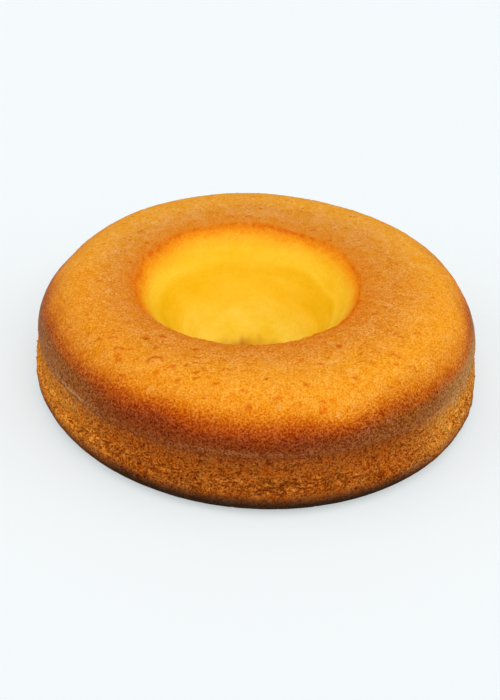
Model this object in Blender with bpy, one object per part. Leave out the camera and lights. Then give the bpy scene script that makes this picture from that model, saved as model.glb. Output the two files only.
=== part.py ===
"""A ring-shaped corn cake, turned out of its tin and standing on its flat base.

Metres, +Z up. The origin is the centre of the footprint, on the surface the cake stands on.
The cake is one piece: a closed profile is turned round the vertical axis, and then the oval
plan, the sidelong lean of the hole, the unevenness and the crags are worked into the turned ring.
"""
import math

import bmesh
import bpy
from mathutils import Vector, noise

NODE_NAME = "ring_cake"
RING_STEPS = 144            # divisions round the ring

# Outer side, from the base up to the crest
BASE_RADIUS = 0.1279        # widest radius, just above the base
BASE_EDGE = 0.0105          # radius of the rounded lower edge
SPLIT_HEIGHT = 0.0192       # middle of the torn split that runs round the crumb wall
SPLIT_HALF = 0.0019         # half the height of the split
SPLIT_DEPTH = 0.0016        # depth of the split where it gapes widest
LIP_RADIUS = 0.125          # radius at the lip, where the crumb wall meets the dome
LIP_HEIGHT = 0.0392         # top of the lip
LIP_BAND = 0.0028           # height of the smooth lip
LIP_PROUD = 0.0007          # how far the lip stands out from the crumb wall
CREST_RADIUS = 0.092        # radius of the highest ring
CREST_HEIGHT = 0.0648
DOME_FLATNESS = 2.52        # exponents of the dome's superellipse
DOME_FULLNESS = 1.24

# Hole, from the rim down: a funnel with a soft crease part of the way down
RIM_RADIUS = 0.0645
RIM_HEIGHT = 0.0619
RIM_ROUND = 0.0022          # rounding where the top turns down into the hole
CREASE_RADIUS = 0.0504
CREASE_HEIGHT = 0.0434
FOOT_RADIUS = 0.0205        # radius of the hole at the base
RIM_SHIFT = -0.0069         # the hole leans: its rim lies further to -X than its foot
FOOT_SHIFT = -0.0030
TOP_SHIFT = 0.0005          # the dome lies a little further to +X than the base
SHOULDER_ARC = math.radians(70)     # arc from the crest over towards the rim

# Unevenness: how much
OVAL = -0.0075              # share by which the plan is stretched along a diagonal
FOOT_OVAL = -0.0105         # how much more than that the foot is stretched
OVAL_TURN = math.radians(54)
SWELL = 0.0007              # slow waves of the whole outer side, in and out
SAG = 0.0006                # slow waves of the top, up and down
CRAG = 0.0011               # depth of the crags on the crumb wall
SPLIT_WANDER = 0.0014       # how far the split strays up and down
LIP_WANDER = 0.0007         # how far the lip strays up and down
RIM_WANDER = 0.0009         # how far the rim strays in and out

# Unevenness: where it fades in or out, as pairs of heights or radii
FOOT_OVAL_FADE = (0.004, 0.030)
CRAG_START = (0.004, 0.014)
CRAG_END = (0.031, 0.035)
OUTER_SIDE = (0.110, 0.120)
TOP_START = (0.045, 0.060)
TOP_INNER_REACH = 0.012     # how far inside the rim the top's waves start
RIM_OUTER_EDGE = 0.078
SPLIT_REACH = 0.0075        # how far above and below the split its straying is felt
LIP_REACH = 0.0110

# Unevenness: its noise, as (waves round the ring, place in the noise)
SWELL_PATTERN = (1.6, 4.0)
SAG_PATTERN = (1.4, 9.0)
SPLIT_PATTERN = (9.0, 2.0)
GAPE_PATTERN = (4.0, 12.0)
LIP_PATTERN = (3.2, 15.0)
RIM_PATTERN = (3.0, 6.0)
WAVE_HEIGHT = 0.020         # height over which a wave changes
CRAG_SIZE = 0.013
FINE_CRAG_SIZE = 0.0065
FINE_CRAG_SHARE = 0.6
FINE_CRAG_PLACE = Vector((7, 3, 5))

CRUST_COLOUR = (0.72, 0.27, 0.035, 1.0)
CRUST_ROUGHNESS = 0.75
SHARP_ANGLE = math.radians(50)


def lerp(low, high, share):
    return low + (high - low) * share


def smooth_step(low, high, value):
    share = min(max((value - low) / (high - low), 0.0), 1.0)
    return share * share * (3.0 - 2.0 * share)


def wall_radius(height):
    """Radius of the plain crumb wall, which leans in from the base to the lip."""
    share = (height - BASE_EDGE) / (LIP_HEIGHT - BASE_EDGE)
    return lerp(BASE_RADIUS, LIP_RADIUS - LIP_PROUD, share)


def lower_edge(steps=5):
    """Quarter circle from the flat base up to the crumb wall."""
    for step in range(steps + 1):
        turn = math.radians(90) * step / steps
        yield (BASE_RADIUS - BASE_EDGE * (1 - math.sin(turn)), BASE_EDGE * (1 - math.cos(turn)))


def crumb_wall():
    """Wall with a row of corners on each edge of the split and one along its bottom."""
    split_foot, split_top = SPLIT_HEIGHT - SPLIT_HALF, SPLIT_HEIGHT + SPLIT_HALF
    yield (wall_radius(split_foot), split_foot)
    yield (wall_radius(SPLIT_HEIGHT), SPLIT_HEIGHT)
    yield (wall_radius(split_top), split_top)
    lip_foot = LIP_HEIGHT - LIP_BAND
    for share in (0.35, 0.7, 1.0):
        height = lerp(split_top, lip_foot, share)
        yield (wall_radius(height), height)


def lip():
    """Low smooth bead that stands proud of the wall."""
    yield (wall_radius(LIP_HEIGHT - LIP_BAND * 0.75) + LIP_PROUD, LIP_HEIGHT - LIP_BAND * 0.75)
    yield (LIP_RADIUS, LIP_HEIGHT)


def dome(steps=8):
    """Superellipse from the lip up to the crest."""
    for step in range(1, steps + 1):
        reach = math.cos(math.radians(90) * step / steps)
        rise = (1 - reach ** DOME_FLATNESS) ** (1 / DOME_FULLNESS)
        yield (lerp(CREST_RADIUS, LIP_RADIUS, reach), lerp(LIP_HEIGHT, CREST_HEIGHT, rise))


def inner_shoulder(steps=3):
    """Nearly flat top between the crest and the rim of the hole."""
    edge = RIM_RADIUS + RIM_ROUND
    for step in range(1, steps + 1):
        turn = SHOULDER_ARC * step / steps
        reach = math.sin(turn) / math.sin(SHOULDER_ARC)
        fall = (1 - math.cos(turn)) / (1 - math.cos(SHOULDER_ARC))
        yield (lerp(CREST_RADIUS, edge, reach), lerp(CREST_HEIGHT, RIM_HEIGHT, fall))


def funnel(upper_steps=3, lower_steps=4):
    """Wall of the hole: rounded rim, then down past the crease to the foot."""
    yield (RIM_RADIUS, RIM_HEIGHT - RIM_ROUND)
    for step in range(1, upper_steps + 1):
        share = step / upper_steps
        yield (lerp(RIM_RADIUS, CREASE_RADIUS, share), lerp(RIM_HEIGHT - RIM_ROUND, CREASE_HEIGHT, share))
    for step in range(1, lower_steps + 1):
        share = step / lower_steps
        yield (lerp(CREASE_RADIUS, FOOT_RADIUS, share), lerp(CREASE_HEIGHT, 0.0, share))


def ring_profile():
    """The closed profile, outer side first."""
    return [*lower_edge(), *crumb_wall(), *lip(), *dome(), *inner_shoulder(), *funnel()]


def turned_ring():
    """The profile turned a full circle and closed on itself."""
    mesh = bmesh.new()
    corners = [mesh.verts.new((radius, 0.0, height)) for radius, height in ring_profile()]
    edges = [mesh.edges.new((corner, corners[place - 1])) for place, corner in enumerate(corners)]
    bmesh.ops.spin(mesh, geom=corners + edges, axis=(0, 0, 1), cent=(0, 0, 0),
                   angle=math.tau, steps=RING_STEPS, use_merge=True)
    bmesh.ops.remove_doubles(mesh, verts=mesh.verts, dist=1e-5)
    bmesh.ops.recalc_face_normals(mesh, faces=mesh.faces)
    return mesh


def wave(turn, height, pattern):
    """Slow noise on a cylinder, so that it closes on itself round the ring."""
    waves, place = pattern
    return noise.noise(Vector((waves * math.cos(turn), waves * math.sin(turn), height / WAVE_HEIGHT + place)))


def crag(point):
    """Coarse and finer crags together, between about -1 and 1."""
    fine = noise.noise(point / FINE_CRAG_SIZE + FINE_CRAG_PLACE)
    return noise.noise(point / CRAG_SIZE) + FINE_CRAG_SHARE * fine


def split_depth(turn, height):
    """The split gapes in some stretches and closes in others."""
    gape = smooth_step(-0.25, 0.35, wave(turn, 0.0, GAPE_PATTERN))
    return SPLIT_DEPTH * gape * max(0.0, 1 - abs(height - SPLIT_HEIGHT) / SPLIT_HALF)


def push_out(point, radius, turn):
    """How far a point of the outer side moves outward."""
    outer = smooth_step(FOOT_RADIUS, CREST_RADIUS, radius)
    on_wall = smooth_step(*CRAG_START, point.z) * (1 - smooth_step(*CRAG_END, point.z))
    swell = SWELL * wave(turn, point.z, SWELL_PATTERN) * smooth_step(0.0, BASE_EDGE, point.z)
    torn = CRAG * crag(point) - split_depth(turn, point.z)
    return outer * (swell + torn * on_wall * smooth_step(*OUTER_SIDE, radius))


def nearness(height, centre, reach):
    return max(0.0, 1 - abs(height - centre) / reach)


def lift(point, radius, turn):
    """How far a point moves up: the top sags a little, and the split and the lip wander."""
    top = smooth_step(*TOP_START, point.z) * smooth_step(RIM_RADIUS - TOP_INNER_REACH, CREST_RADIUS, radius)
    split = SPLIT_WANDER * wave(turn, 0.0, SPLIT_PATTERN) * nearness(point.z, SPLIT_HEIGHT, SPLIT_REACH)
    lip_line = LIP_WANDER * wave(turn, 0.0, LIP_PATTERN) * nearness(point.z, LIP_HEIGHT, LIP_REACH)
    return SAG * wave(turn, 0.0, SAG_PATTERN) * top + (split + lip_line) * smooth_step(*OUTER_SIDE, radius)


def hole_lean(radius, height):
    """Sideways move of the hole, which fades out over the top and over the base."""
    fade = 1 - smooth_step(RIM_RADIUS, CREST_RADIUS, radius)
    return fade * lerp(FOOT_SHIFT, RIM_SHIFT, height / RIM_HEIGHT)


def top_lean(radius, height):
    """Sideways move of the dome, which fades out towards the base and the hole."""
    return TOP_SHIFT * smooth_step(0.0, LIP_HEIGHT, height) * smooth_step(RIM_RADIUS, CREST_RADIUS, radius)


def oval_share(height):
    """How far the plan is stretched at this height, most of all at the foot."""
    return OVAL + FOOT_OVAL * (1 - smooth_step(*FOOT_OVAL_FADE, height))


def shaped(point):
    """Where a point of the turned ring lies on the real, uneven cake."""
    radius, turn = math.hypot(point.x, point.y), math.atan2(point.y, point.x)
    stretched = radius * (1 + oval_share(point.z) * math.cos(2 * (turn - OVAL_TURN)))
    stretched += push_out(point, radius, turn)
    near_rim = smooth_step(CREASE_HEIGHT, RIM_HEIGHT, point.z) * (1 - smooth_step(RIM_RADIUS, RIM_OUTER_EDGE, radius))
    stretched += RIM_WANDER * wave(turn, 0.0, RIM_PATTERN) * near_rim
    across = stretched * math.cos(turn) + hole_lean(radius, point.z) + top_lean(radius, point.z)
    return Vector((across, stretched * math.sin(turn), point.z + lift(point, radius, turn)))


def centred(points):
    """Move the points so that their box is centred on the origin in plan."""
    middle_x = (min(p.x for p in points) + max(p.x for p in points)) / 2
    middle_y = (min(p.y for p in points) + max(p.y for p in points)) / 2
    return [p - Vector((middle_x, middle_y, 0.0)) for p in points]


def crust_material():
    material = bpy.data.materials.new("golden_crust")
    material.use_nodes = True
    shader = material.node_tree.nodes["Principled BSDF"]
    shader.inputs["Base Color"].default_value = CRUST_COLOUR
    shader.inputs["Roughness"].default_value = CRUST_ROUGHNESS
    shader.inputs["Metallic"].default_value = 0.0
    return material


def ring_cake():
    ring = turned_ring()
    for vertex, place in zip(ring.verts, centred([shaped(vertex.co) for vertex in ring.verts])):
        vertex.co = place
    mesh = bpy.data.meshes.new(NODE_NAME)
    ring.to_mesh(mesh)
    ring.free()
    mesh.materials.append(crust_material())
    mesh.shade_smooth()
    mesh.set_sharp_from_angle(angle=SHARP_ANGLE)
    cake = bpy.data.objects.new(NODE_NAME, mesh)
    bpy.context.scene.collection.objects.link(cake)


def main():
    for leftover in list(bpy.data.objects):
        bpy.data.objects.remove(leftover)
    ring_cake()


main()
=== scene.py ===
"""Looks of the ring-shaped corn cake: crust, torn crumb wall, and the crumbs that cling to it.

Lengths in this script are millimetres of the cake until a mesh is written, which is when MM turns
them into the frame's metres. A place on the cake is given by two numbers: "along", the way up its
outline from the top of the lip (below it is negative), and "turn", the angle round the ring.
"""

import math

import bmesh
import bpy
import numpy as np
from mathutils import Matrix, Vector, noise


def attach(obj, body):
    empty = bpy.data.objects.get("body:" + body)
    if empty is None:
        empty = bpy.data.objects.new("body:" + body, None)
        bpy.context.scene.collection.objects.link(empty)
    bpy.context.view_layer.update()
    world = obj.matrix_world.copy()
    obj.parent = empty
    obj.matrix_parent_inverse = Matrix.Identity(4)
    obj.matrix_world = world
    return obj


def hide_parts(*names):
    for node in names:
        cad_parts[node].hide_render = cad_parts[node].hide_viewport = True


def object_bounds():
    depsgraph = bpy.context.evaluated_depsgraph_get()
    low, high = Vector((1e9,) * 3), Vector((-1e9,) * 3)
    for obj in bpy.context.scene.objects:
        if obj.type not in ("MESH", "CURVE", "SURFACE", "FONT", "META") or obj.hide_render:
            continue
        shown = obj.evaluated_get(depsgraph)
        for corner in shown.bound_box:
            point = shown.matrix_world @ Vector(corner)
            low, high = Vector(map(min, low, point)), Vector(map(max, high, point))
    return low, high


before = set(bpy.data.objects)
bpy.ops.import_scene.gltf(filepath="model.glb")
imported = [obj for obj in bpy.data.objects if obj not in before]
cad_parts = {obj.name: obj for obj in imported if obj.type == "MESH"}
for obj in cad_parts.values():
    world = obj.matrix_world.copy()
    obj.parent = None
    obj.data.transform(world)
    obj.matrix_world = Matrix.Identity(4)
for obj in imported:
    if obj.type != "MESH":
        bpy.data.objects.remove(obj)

NODE, BODY, SLOT = "ring_cake", "root", "crust"
CAD_LOW, CAD_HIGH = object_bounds()
SOLID_WIDTH = 257.569  # the solid's width in millimetres
SOLID_STEPS = 144  # the solid's divisions round the ring
MM = (CAD_HIGH.x - CAD_LOW.x) / SOLID_WIDTH

# Outline, as in the solid
BASE_RADIUS, BASE_EDGE = 127.9, 10.5
SPLIT_HEIGHT, SPLIT_HALF, SPLIT_DEPTH = 19.2, 1.9, 1.6
LIP_RADIUS, LIP_HEIGHT, LIP_BAND, LIP_PROUD = 125, 39.2, 2.8, 0.7
CREST_RADIUS, CREST_HEIGHT = 92, 64.8
DOME_FLATNESS, DOME_FULLNESS = 2.52, 1.24
SHOULDER_ARC = math.radians(70)
RIM_RADIUS, RIM_HEIGHT, RIM_ROUND = 64.5, 61.9, 2.2
CREASE_RADIUS, CREASE_HEIGHT, FOOT_RADIUS = 50.4, 43.4, 20.5
RIM_SHIFT, FOOT_SHIFT, TOP_SHIFT = -6.9, -3, 0.5

# Unevenness, as in the solid
OVAL, FOOT_OVAL, OVAL_TURN = -0.0075, -0.0105, math.radians(54)
SWELL, SAG, CRAG, SPLIT_WANDER, LIP_WANDER, RIM_WANDER = 0.7, 0.6, 1.1, 1.4, 0.7, 0.9
WAVE_HEIGHT, CRAG_SIZE, FINE_CRAG_SIZE = 20, 13, 6.5
FINE_CRAG_SHARE, FINE_CRAG_PLACE = 0.6, Vector((7, 3, 5))
# Where it starts and ends, by height or by radius
FOOT_OVAL_FADE, CRAG_START, CRAG_END, TOP_START = (4, 30), (4, 14), (31, 35), (45, 60)
OUTER_SIDE, TOP_INNER_REACH, RIM_OUTER_EDGE = (110, 120), 12, 78
SPLIT_REACH, LIP_REACH = 7.5, 11
# Slow noise round the ring, as (waves, place)
SWELL_PATTERN, SAG_PATTERN, SPLIT_PATTERN = (1.6, 4), (1.4, 9), (9, 2)
GAPE_PATTERN, LIP_PATTERN, RIM_PATTERN = (4, 12), (3.2, 15), (3, 6)


def lerp(low, high, share):
    return low + (high - low) * share


def smooth_step(low, high, value):
    share = min(max((value - low) / (high - low), 0), 1)
    return share * share * (3.0 - 2.0 * share)


def plateau(start, full, fading, end, value):
    """0 up to the start and from the end, 1 between full and fading."""
    return smooth_step(start, full, value) * smooth_step(end, fading, value)


def nearness(value, centre, reach):
    """1 at the centre, falling evenly to 0 at this reach."""
    return max(0, 1 - abs(value - centre) / reach)


def swell_at(turn, part):
    """1 in the middle of a part of the ring, (middle, half width) in degrees, fading out beyond it."""
    middle, half = part
    away = math.remainder(turn - math.radians(middle), math.tau) / math.radians(half)
    return math.exp(-away * away)


# ---- outline

def wall_radius(height):
    share = (height - BASE_EDGE) / (LIP_HEIGHT - BASE_EDGE)
    return lerp(BASE_RADIUS, LIP_RADIUS - LIP_PROUD, share)


def outline_stretches(fine=120):
    """The outline's stretches in order, each as points (radius, height)."""
    share = np.linspace(0, 1, fine)
    quarter = share * math.pi / 2
    lip_foot, mouth_top, rim_edge = LIP_HEIGHT - LIP_BAND, RIM_HEIGHT - RIM_ROUND, RIM_RADIUS + RIM_ROUND
    lip_height = lerp(lip_foot, LIP_HEIGHT, share)
    bead = LIP_PROUD * np.sin(np.minimum(share * 4, 1) * math.pi / 2)
    reach = np.cos(quarter)
    rise = (1 - reach ** DOME_FLATNESS) ** (1 / DOME_FULLNESS)
    over = share * SHOULDER_ARC
    inward, fall = np.sin(over) / math.sin(over[-1]), (1 - np.cos(over)) / (1 - math.cos(over[-1]))
    return {
        "base": np.c_[lerp(FOOT_RADIUS, BASE_RADIUS - BASE_EDGE, share), 0 * share],
        "edge": np.c_[BASE_RADIUS - BASE_EDGE * (1 - np.sin(quarter)), BASE_EDGE * (1 - np.cos(quarter))],
        "wall": np.c_[wall_radius(lerp(BASE_EDGE, lip_foot, share)), lerp(BASE_EDGE, lip_foot, share)],
        "lip": np.c_[wall_radius(lip_height) + bead, lip_height],
        "dome": np.c_[lerp(CREST_RADIUS, LIP_RADIUS, reach), lerp(LIP_HEIGHT, CREST_HEIGHT, rise)],
        "shoulder": np.c_[lerp(CREST_RADIUS, rim_edge, inward), lerp(CREST_HEIGHT, RIM_HEIGHT, fall)],
        "rim": np.c_[rim_edge - RIM_ROUND * np.sin(quarter), mouth_top + RIM_ROUND * np.cos(quarter)],
        "mouth": np.c_[lerp(RIM_RADIUS, CREASE_RADIUS, share), lerp(mouth_top, CREASE_HEIGHT, share)],
        "throat": np.c_[lerp(CREASE_RADIUS, FOOT_RADIUS, share), lerp(CREASE_HEIGHT, 0, share)],
    }


def measured_outline():
    """Outline points with their place along it, and where each stretch starts and ends."""
    points, ends = np.empty((0, 2)), {}
    for name, stretch in outline_stretches().items():
        points = np.vstack([points, stretch])
        ends[name] = len(points) - 1
    along = np.r_[0, np.cumsum(np.hypot(*np.diff(points, axis=0).T))]
    along -= along[ends["lip"]]
    starts = dict(zip(ends, [along[0], *(along[end] for end in ends.values())]))
    return points, along, {name: (starts[name], along[end]) for name, end in ends.items()}


OUTLINE, OUTLINE_ALONG, STRETCH = measured_outline()
BASE_START = STRETCH["base"][0]
EDGE_FOOT, EDGE_TOP = STRETCH["edge"]
LIP_FOOT = STRETCH["lip"][0]
CREST = STRETCH["dome"][1]
RIM = STRETCH["rim"][0]
CREASE = STRETCH["mouth"][1]
FOOT = STRETCH["throat"][1]


def outline_at(along):
    """(radius, height) at a place along the outline."""
    return tuple(float(np.interp(along, OUTLINE_ALONG, column)) for column in OUTLINE.T)


# ---- the solid's own unevenness

def wave(turn, height, pattern):
    """Slow noise on a cylinder, so that it closes on itself round the ring."""
    waves, place = pattern
    height = height / WAVE_HEIGHT + place
    return noise.noise(Vector((waves * math.cos(turn), waves * math.sin(turn), height)))


def crag(point):
    fine = noise.noise(point / FINE_CRAG_SIZE + FINE_CRAG_PLACE)
    return noise.noise(point / CRAG_SIZE) + FINE_CRAG_SHARE * fine


def split_gape(turn):
    """The split gapes in some stretches and closes in others."""
    return smooth_step(-0.25, 0.35, wave(turn, 0, GAPE_PATTERN))


def push_out(point, radius, turn):
    outer = smooth_step(FOOT_RADIUS, CREST_RADIUS, radius)
    on_wall = smooth_step(*CRAG_START, point.z) * (1 - smooth_step(*CRAG_END, point.z))
    swell = SWELL * wave(turn, point.z, SWELL_PATTERN) * smooth_step(0, BASE_EDGE, point.z)
    split = SPLIT_DEPTH * split_gape(turn) * nearness(point.z, SPLIT_HEIGHT, SPLIT_HALF)
    return outer * (swell + (CRAG * crag(point) - split) * on_wall * smooth_step(*OUTER_SIDE, radius))


def lift(point, radius, turn):
    top = smooth_step(*TOP_START, point.z) * smooth_step(RIM_RADIUS - TOP_INNER_REACH, CREST_RADIUS, radius)
    split = SPLIT_WANDER * wave(turn, 0, SPLIT_PATTERN) * nearness(point.z, SPLIT_HEIGHT, SPLIT_REACH)
    lip_line = LIP_WANDER * wave(turn, 0, LIP_PATTERN) * nearness(point.z, LIP_HEIGHT, LIP_REACH)
    return SAG * wave(turn, 0, SAG_PATTERN) * top + (split + lip_line) * smooth_step(*OUTER_SIDE, radius)


def hole_lean(radius, height):
    fade = 1 - smooth_step(RIM_RADIUS, CREST_RADIUS, radius)
    return fade * lerp(FOOT_SHIFT, RIM_SHIFT, height / RIM_HEIGHT)


def top_lean(radius, height):
    return TOP_SHIFT * smooth_step(0, LIP_HEIGHT, height) * smooth_step(RIM_RADIUS, CREST_RADIUS, radius)


def uneven(along, turn):
    """The solid's surface at a place, without the fine relief."""
    radius, height = outline_at(along)
    point = Vector((radius * math.cos(turn), radius * math.sin(turn), height))
    oval = OVAL + FOOT_OVAL * (1 - smooth_step(*FOOT_OVAL_FADE, height))
    reach = radius * (1 + oval * math.cos(2 * (turn - OVAL_TURN))) + push_out(point, radius, turn)
    near_rim = 1 - smooth_step(RIM_RADIUS, RIM_OUTER_EDGE, radius)
    near_rim *= smooth_step(CREASE_HEIGHT, RIM_HEIGHT, height)
    reach += RIM_WANDER * wave(turn, 0, RIM_PATTERN) * near_rim
    return Vector((reach * math.cos(turn) + hole_lean(radius, height) + top_lean(radius, height),
                   reach * math.sin(turn), height + lift(point, radius, turn)))


# ---- relief of the torn crumb

PORE_SIZE, PORE_DEPTH, PORE_EDGE = 1.6, 0.3, (0.5, 0.15)
LUMP_SIZE, LUMP_RISE = 5, 0.45
PIT_SIZE, PIT_DEPTH, PIT_EDGE, PIT_PLACE = 3.2, 0.75, (0.3, 0.55), Vector((3, 9, 1))
PIT_END = -1, -6  # the pits fade out towards the lip
CRACK_LENGTH, CRACK_HEIGHT, CRACK_DEPTH = 6, 2.1, 1.35
CRACK_LEVEL, CRACK_EDGE = -0.12, (0.24, 0.03)  # a crack runs where the noise is at this level
FLAKE_RISE, FLAKE_EDGE = 0.6, (0.05, 0.35)  # the crumb stands up a little beside a crack
TEAR_MIDDLE, TEAR_ZONE = SPLIT_HEIGHT + 0.5, (7.8, 1.5)  # the cracks fade out away from the split
LEAST_TEAR = 0.4  # where the split is shut
PIT_SHADE, PORE_SHADE = 0.8, 0.3  # how dark they are, where a crack is 1
CRUMB_START, TORN_START = (EDGE_FOOT + 1, EDGE_FOOT + 7), (EDGE_TOP - 4, EDGE_TOP + 2)
EDGE_COVER = 0.2  # how torn the lower edge is
SMOOTH_PART, SMOOTH_RISE = (-84, 26), 5  # the smooth lower edge reaches higher in this part


def wall_cover(along, turn):
    """How torn the crumb is: fully on the wall, little on the lower edge, least where that is smooth."""
    torn = smooth_step(*TORN_START, along - SMOOTH_RISE * swell_at(turn, SMOOTH_PART))
    return lerp(EDGE_COVER, 1, torn) * smooth_step(*CRUMB_START, along)


def torn_crumb(along, turn, point):
    """(rise, shade) of the torn crumb: lumps and flakes, which are lighter, and pores, pits and cracks."""
    pore = smooth_step(*PORE_EDGE, noise.voronoi(point / PORE_SIZE)[0][0])
    pit = smooth_step(*PIT_EDGE, noise.noise(point / PIT_SIZE + PIT_PLACE)) * smooth_step(*PIT_END, along)
    height = outline_at(along)[1]
    tearing = smooth_step(*TEAR_ZONE, abs(height - TEAR_MIDDLE)) * lerp(LEAST_TEAR, 1, split_gape(turn))
    flake = noise.noise(Vector((point.x / CRACK_LENGTH, point.y / CRACK_LENGTH, point.z / CRACK_HEIGHT)))
    crack = tearing * smooth_step(*CRACK_EDGE, abs(flake - CRACK_LEVEL))
    ridge = tearing * smooth_step(*FLAKE_EDGE, flake)
    rise = (LUMP_RISE * noise.noise(point / LUMP_SIZE) - PORE_DEPTH * pore - PIT_DEPTH * pit
            - CRACK_DEPTH * crack + FLAKE_RISE * ridge)
    return rise, ridge - max(PIT_SHADE * pit, crack, PORE_SHADE * pore)


# ---- relief of the crust

PEEL_SIZE, PEEL_RISE = 2.8, 0.16  # faint orange-peel
DENT_SIZE, DENT_RISE = 14, 0.22  # slow dents and swells
RELIEF_REACH = 0, 6, RIM, RIM + 14  # reaches along the outline: (start, full, fading, end)
LIP_END, RAGGED_LIP = (3, -0.5), 0.7  # the torn crumb's relief carries on over the lip
RIM_LINE = RIM + 2  # where the crust turns down into the hole
RIM_LUMP_SIZE, RIM_LUMP_REACH, RAGGED_RIM = 3.4, 5, 0.6
FLATTER = 1.2  # the dome's outer side is a little flatter in one part
FLAT_PART, FLAT_REACH = (166, 18), (5, 14, 28, 40)
MARKS_START, BLISTERS_START = 4, (12, 22)
MARK_RAG_SIZE = 1.6  # of the noise that makes a mark's outline ragged
MARK_REACH = 8  # further away than this, a mark isn't felt
BLISTER_SPACING = 6.5  # small blisters, with painted shade on their far side
BLISTER_SMALL, BLISTER_LARGE = 0.16, 0.32  # radius, as a share of the spacing
BLISTER_RISE, BLISTER_EDGE_SHADE, BLISTER_EDGE_DARK_SHADE = 0.3, 0.9, 0.3
CHANCE_STEP, SIZE_STEP, SIZE_PLACE = 7.3, 5.1, Vector((40, 0, 0))  # where its two chances are drawn
# What a mark does: (rise, scorch inside and at its far edge, dark inside and at its far edge, pale); scorch
# and dark at the far edge are painted shade, and pale in blisters and arcs is painted light
MARK_KINDS = {
    "blister": (0.38, 0, 0.8, 0, 0.55, 0.35),
    "arc": (0.3, 0.2, 0.9, 0, 0.3, 0.1),
    "spot": (0.1, 1, 0, 0.1, 0, 0),
    "patch": (0, 0.6, 0, 0, 0, 0),
    "stroke": (-0.25, 0.6, 0, 0.5, 0, 0),
    "pit": (-0.5, 0.4, 0, 0.8, 0, 0),
    "pale": (0.1, 0, 0, 0, 0, 0.5),
    "speck": (0.15, 0, 0, 0, 0, 1),
}


class Mark:
    """A small feature of the crust: its place, its size along X and Y, and its kind."""

    def __init__(self, x, y, wide, deep, kind):
        self.x, self.y, self.half_wide, self.half_deep = x, y, wide / 2, deep / 2
        self.effects = MARK_KINDS[kind]

    def near(self, point):
        return abs(point.x - self.x) < MARK_REACH and abs(point.y - self.y) < MARK_REACH

    def effect(self, point):
        """(rise, scorch, dark, pale) at a place."""
        ragged = noise.noise(point / MARK_RAG_SIZE)
        u, v = (point.x - self.x + ragged) / self.half_wide, (point.y - self.y + ragged) / self.half_deep
        rise, scorch, far_edge_shade, dark, far_edge_dark_shade, pale = self.effects
        inside, edge = round_share(math.hypot(u, v), v)
        # the far edge's part is painted shade on the side away from the light
        return (rise * inside, scorch * inside + far_edge_shade * edge, dark * inside + far_edge_dark_shade * edge,
                pale * inside)


def round_share(away, beyond):
    """(inside, on the far edge) of a round feature whose edge is where away is 1."""
    far_side = smooth_step(-0.3, 0.5, beyond)
    return 1 - smooth_step(0.5, 1.1, away), far_side * nearness(away, 0.95, 0.45)


# The marks of each kind, as (x, y, size along X, size along Y)
MARK_PLACES = {
    "blister": ((-49.3, -86.6, 7.6, 7.2),),
    "arc": (
        (-69, -76.7, 5, 4.4), (-72.8, -68.1, 4, 3.6), (60.9, -72.7, 5.2, 3), (70.5, -74.4, 6, 4.4),
        (80, -78.4, 4, 3)),
    "spot": ((-47.5, -64.3, 4.4, 4), (43.3, -67.4, 4.6, 4.4), (-30.3, -75.4, 4.8, 2.6)),
    "patch": (
        (-68.8, -80, 3.6, 4), (-48, -93.3, 4.4, 3.6), (-39.9, -90, 4.4, 5), (37.6, -72.2, 5, 3),
        (23, -80.7, 5, 4), (33, -83.2, 6, 3.4), (59.4, -80, 5, 3), (34.3, -109.6, 6, 3.6),
        (39.2, -105.3, 5, 2.6)),
    "pit": (
        (-55.7, -67.2, 3.6, 3), (-50.2, -74.6, 3.6, 2.4), (-64.7, -70.8, 1.6, 1.8), (35.9, -62.8, 1.4, 1.6),
        (45.2, -77.4, 1.6, 1.6), (53.6, -73.6, 1.6, 1.8), (6, -97.2, 1.6, 1.6)),
    "stroke": (
        (-28.7, -82.3, 5.2, 2.2), (-29.5, -86.4, 4, 2.2), (-33.5, -88.8, 4, 2.4), (-25, -91.7, 3, 2),
        (-28.6, -93.9, 4.6, 2.2), (-28.4, -97.7, 4.6, 2), (-59.1, -84, 4.6, 1.8), (-37.2, -98.3, 3.6, 2.4),
        (-68.2, -82.6, 5, 1.5), (49.4, -91.7, 5.2, 2.2), (25.7, -99.4, 4.6, 2.4), (75.3, -57.5, 4.6, 1.8)),
    "pale": (
        (-55.1, -73, 5.6, 4), (-64.4, -60.2, 6, 4), (-50.3, -100.4, 4.6, 4), (48.2, -87.3, 7, 5),
        (40.1, -63, 5, 3), (12.8, -111.2, 5, 3.6), (-76.1, 27.2, 4, 3.4), (73.8, 23, 4.4, 3)),
    "speck": ((-64.5, 57.5, 5, 3.6), (-30, 88.9, 4.4, 3.6), (41.6, -109.6, 2, 1.8)),
}
CRUST_MARKS = [Mark(*place, kind) for kind, places in MARK_PLACES.items() for place in places]


def blister(point):
    """(rise, scorch, dark) of the small scattered blisters; the scorch and dark are painted shade on each
    blister's far edge.
    """
    distances, middles = noise.voronoi(point / BLISTER_SPACING)
    chance = noise.cell(middles[0] * CHANCE_STEP)
    size_chance = noise.cell(middles[0] * SIZE_STEP + SIZE_PLACE)
    strength = smooth_step(-0.2, 0.8, chance)
    radius = lerp(BLISTER_SMALL, BLISTER_LARGE, 0.5 + 0.5 * size_chance)
    inside, edge = round_share(distances[0] / radius, (point.y / BLISTER_SPACING - middles[0].y) / radius)
    inside, edge = strength * inside, strength * edge
    return BLISTER_RISE * inside, BLISTER_EDGE_SHADE * edge, BLISTER_EDGE_DARK_SHADE * edge


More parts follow.
